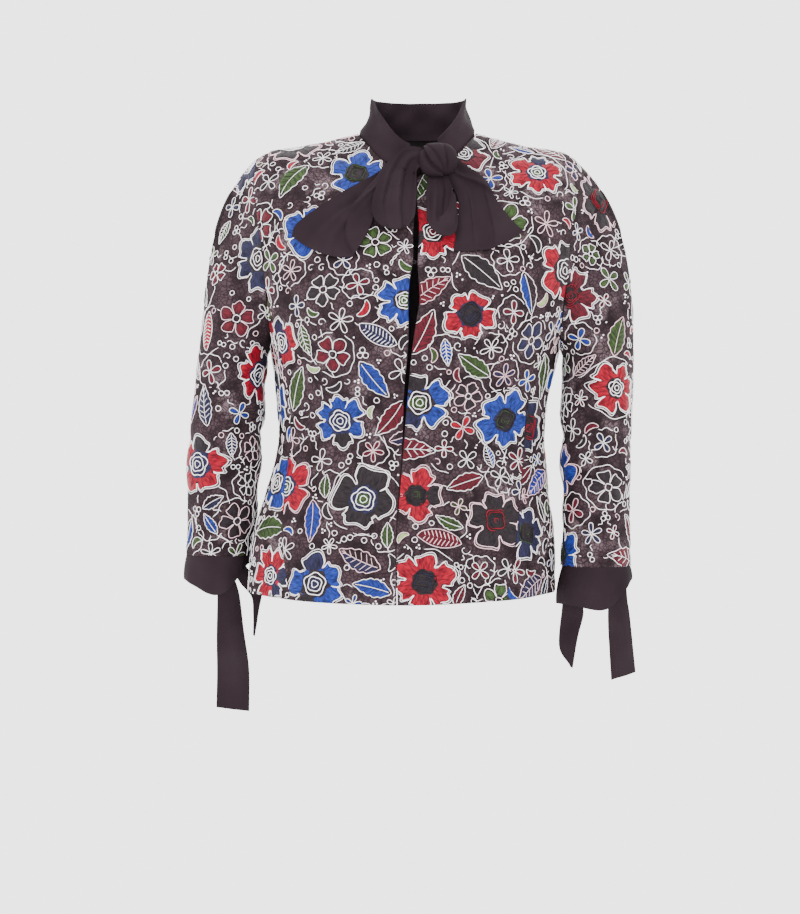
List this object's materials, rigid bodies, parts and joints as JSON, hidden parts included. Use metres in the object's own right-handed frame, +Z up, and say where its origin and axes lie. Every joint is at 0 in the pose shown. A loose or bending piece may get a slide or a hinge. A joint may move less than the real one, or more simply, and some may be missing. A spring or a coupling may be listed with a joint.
{
  "type": "short fitted tie-neck jacket",
  "caption": "Short fitted women's jacket in embroidered net, with bracelet sleeves, tied silk cuffs and a silk neck band ending in a bow, held open in its worn shape.",
  "frame": {"origin": "middle of the neck opening, at the height where the shoulder seams meet the neck band", "axes": "+X to the wearer's left, -Y to the front, +Z up"},
  "size_m": [0.5182, 0.2495, 0.7056],
  "materials": {
    "net": "black net backed with dark cloth, embroidered all over in cord and thread",
    "silk": "matte charcoal-black silk crepe",
    "wire": "black lacquered wire"
  },
  "bodies": {
    "root": {"front_right": "net", "front_left": "net", "side_right": "net", "side_left": "net", "back": "net", "sleeve_right": "net", "sleeve_left": "net", "cuff_right": "silk", "cuff_left": "silk", "neck_band": "silk", "bow_knot": "silk", "bow_loop_right": "silk", "bow_loop_left": "silk", "bow_tail_right": "silk", "bow_tail_left": "silk", "tie_right_long": "silk", "tie_right_short": "silk", "tie_left_short": "silk", "tie_left_long": "silk", "hook": "wire", "eye": "wire"}
  },
  "joints": []
}
